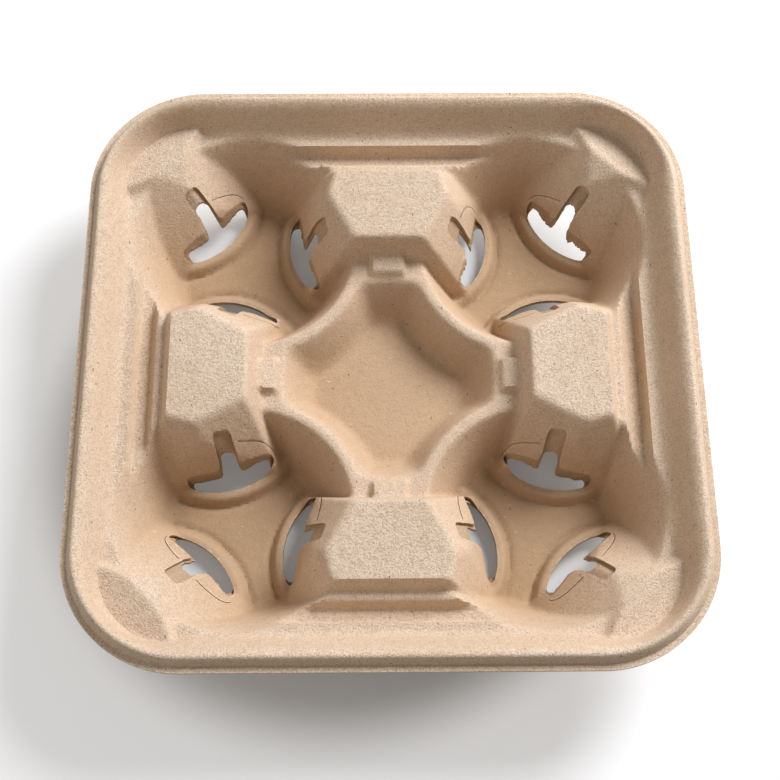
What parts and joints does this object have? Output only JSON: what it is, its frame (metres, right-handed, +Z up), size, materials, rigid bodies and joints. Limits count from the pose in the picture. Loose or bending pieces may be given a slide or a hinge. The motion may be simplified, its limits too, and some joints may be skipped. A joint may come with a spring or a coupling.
{
  "type": "cup carrier",
  "caption": "Square moulded-pulp tray with round cup wells in its corners, springy slotted tabs, a centre recess and a rolled rim.",
  "frame": {"origin": "centre of the underside, in the plane that the well floors rest on", "axes": "+Z up, out of the wells; +X and +Y along the sides; -Y towards the viewer"},
  "size_m": [0.216, 0.216, 0.043],
  "materials": {
    "pulp": "matt kraft-brown moulded fibre with fine darker and lighter flecks"
  },
  "bodies": {
    "root": {"carrier_tray": "pulp"}
  },
  "joints": []
}
